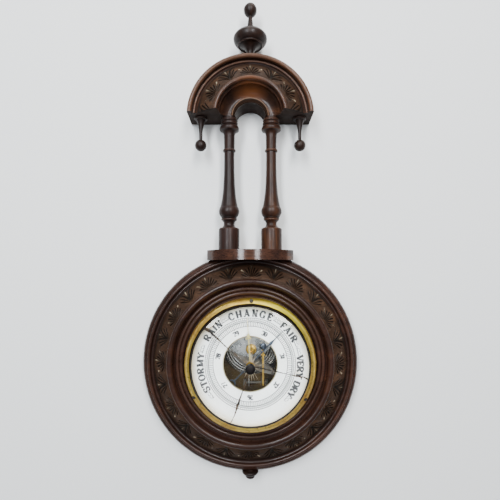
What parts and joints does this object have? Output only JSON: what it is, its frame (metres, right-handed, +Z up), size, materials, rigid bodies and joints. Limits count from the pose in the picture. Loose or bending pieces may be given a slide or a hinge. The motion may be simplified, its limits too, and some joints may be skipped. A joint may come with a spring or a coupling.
{
  "type": "aneroid barometer",
  "caption": "Wall aneroid barometer in a carved walnut case: round dial in a moulded ring, turned columns and an arched pediment, with cracked glass.",
  "frame": {"origin": "centre of the hole in the hanger plate, on the wall plane", "axes": "+Z up along the case, from the dial to the finial; +Y into the wall, so the face looks along -Y; +X to the viewer's right"},
  "size_m": [0.2348, 0.0595, 0.5276],
  "materials": {
    "walnut": "waxed satin",
    "case_brass": "lacquered, tarnished",
    "window_glass": "clear",
    "dial_enamel": "satin",
    "dark_steel": "dull",
    "pale_brass": "satin",
    "blackened_brass": "satin",
    "blued_steel": "polished",
    "polished_steel": "polished",
    "movement_brass": "satin",
    "nickel_silver": "satin"
  },
  "bodies": {
    "case": {"dial_frame": "walnut", "pediment": "walnut", "shelf": "walnut", "column_left": "walnut", "column_right": "walnut", "drop_left": "walnut", "drop_right": "walnut", "top_finial": "walnut", "bottom_drop": "walnut", "hanger_plate": "dark_steel", "hanger_screws": "dark_steel", "shelf_screws": "dark_steel", "case_cup": "case_brass", "bezel": "case_brass", "bezel_screws": "dark_steel", "glass_ring": "case_brass", "glass_upper": "window_glass", "glass_lower": "window_glass", "glass_left": "window_glass", "glass_bush": "movement_brass", "dial": "dial_enamel", "dial_centre_rim": "dark_steel", "dial_pillars": "movement_brass", "base_plate": "movement_brass", "base_screws": "dark_steel", "capsule_upper": "nickel_silver", "capsule_lower": "nickel_silver", "capsule_stud": "movement_brass", "spring_bridge": "polished_steel", "spring_bridge_screws": "dark_steel", "mainspring": "polished_steel", "spring_screws": "dark_steel", "rocker_posts": "polished_steel", "arbor_plate": "polished_steel", "arbor_bridge": "polished_steel", "arbor_pillars": "polished_steel", "arbor_spacers": "polished_steel", "arbor_bridge_screws": "dark_steel", "hairspring": "polished_steel", "hairspring_stud": "polished_steel"},
    "indicating_hand_and_arbor": {"hand_arbor": "polished_steel", "indicating_hand": "blued_steel"},
    "lever": {"main_lever": "movement_brass", "lever_post": "blued_steel", "lever_link": "polished_steel"},
    "capsule_top": {"capsule_post": "movement_brass", "capsule_nut": "movement_brass"},
    "rocker": {"rocking_shaft": "polished_steel"},
    "chain_run": {"chain": "polished_steel"},
    "set_hand_and_knob": {"set_hand": "pale_brass", "set_knob": "blackened_brass"},
    "adjuster": {"adjusting_screw": "polished_steel"}
  },
  "joints": [
    {"name": "rocker_turn", "type": "hinge", "parent": "case", "child": "rocker", "pos_m": [0.007, -0.0075, -0.326], "axis": [1, 0, 0], "range_deg": [-7.25, 18.38]},
    {"name": "hand_turn", "type": "hinge", "parent": "case", "child": "indicating_hand_and_arbor", "pos_m": [0, -0.0264, -0.3], "axis": [0, 1, 0], "range_deg": [-147.1, 58.1]},
    {"name": "lever_flex", "type": "hinge", "parent": "case", "child": "lever", "pos_m": [0, -0.0246, -0.25], "axis": [1, 0, 0], "range_deg": [-1.31, 0.52]},
    {"name": "capsule_breathe", "type": "slide", "parent": "case", "child": "capsule_top", "axis": [0, 1, 0], "range_m": [-0.0008, 0.00032]},
    {"name": "chain_pull", "type": "slide", "parent": "case", "child": "chain_run", "axis": [0, 0, 1], "range_m": [-0.0039, 0.0016]},
    {"name": "set_hand_turn", "type": "hinge", "parent": "case", "child": "set_hand_and_knob", "pos_m": [0, -0.044, -0.3], "axis": [0, 1, 0], "continuous": true},
    {"name": "adjuster_turn", "type": "hinge", "parent": "case", "child": "adjuster", "pos_m": [0.001, -0.004, -0.2853], "axis": [0, 1, 0], "range_deg": [-360, 360]}
  ],
  "couplings": [
    {"joint": "hand_turn", "follows": "rocker_turn", "ratio": -8},
    {"joint": "lever_flex", "follows": "rocker_turn", "ratio": -0.0704},
    {"joint": "capsule_breathe", "follows": "rocker_turn", "m_per_rad": -0.002485},
    {"joint": "chain_pull", "follows": "rocker_turn", "m_per_rad": -0.012}
  ]
}
